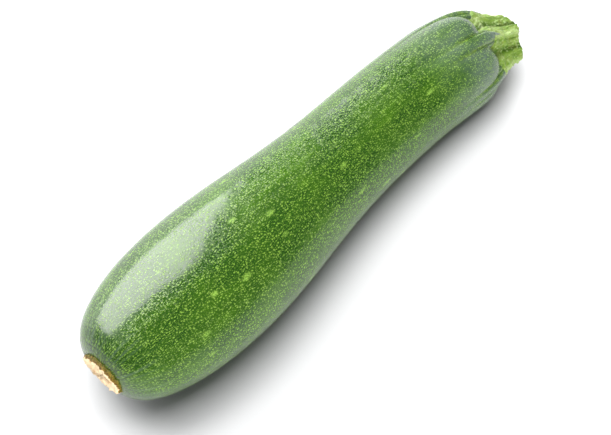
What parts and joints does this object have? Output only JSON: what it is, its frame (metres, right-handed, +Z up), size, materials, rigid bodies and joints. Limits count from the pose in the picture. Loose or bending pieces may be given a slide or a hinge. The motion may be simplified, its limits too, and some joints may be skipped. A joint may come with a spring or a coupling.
{
  "type": "courgette",
  "caption": "Whole dark green courgette lying on its side, with a ribbed cut stem, lobed shoulder and corky flower scar, for cooking, display and grasping.",
  "frame": {"origin": "on the surface the courgette lies on, below the middle of its box", "axes": "+X from the flower end to the stem, +Z up"},
  "size_m": [0.188, 0.0492, 0.049],
  "materials": {
    "skin": "gloss",
    "stem": "satin",
    "cork": "matte"
  },
  "bodies": {
    "root": {"fruit": "skin", "stem": "stem", "flower_scar": "cork"}
  },
  "joints": []
}
